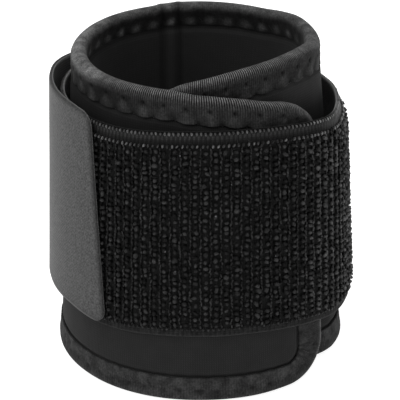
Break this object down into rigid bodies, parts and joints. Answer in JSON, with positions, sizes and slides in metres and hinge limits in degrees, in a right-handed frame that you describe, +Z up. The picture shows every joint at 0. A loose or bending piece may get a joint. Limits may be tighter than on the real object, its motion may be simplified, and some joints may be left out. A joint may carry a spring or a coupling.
{
  "type": "wrist wrap",
  "caption": "Bound foam wrist wrap rolled into an open cuff with overlapping ends, closed by a pile elastic strap with a hook tab pressed onto its own face.",
  "frame": {"origin": "middle of the wrap's bounding box, on the surface that its lower bound edge stands on", "axes": "+Z up along the wrist, -Y towards the overlapping ends and the open view of the strap, +X towards the outer end of the panel"},
  "size_m": [0.0712, 0.0706, 0.0772],
  "materials": {
    "neoprene": "matt charcoal jersey face on closed-cell foam",
    "binding_tape": "matt dark grey ribbed fold-over elastic with zigzag stitching",
    "pile_elastic": "matt black looped pile in upright columns between woven selvedges",
    "hook_tape": "smooth satin grey woven back, black hooks on the inner face"
  },
  "bodies": {
    "root": {"neoprene_panel": "neoprene", "edge_binding": "binding_tape", "elastic_strap": "pile_elastic", "hook_tab": "hook_tape"}
  },
  "joints": []
}
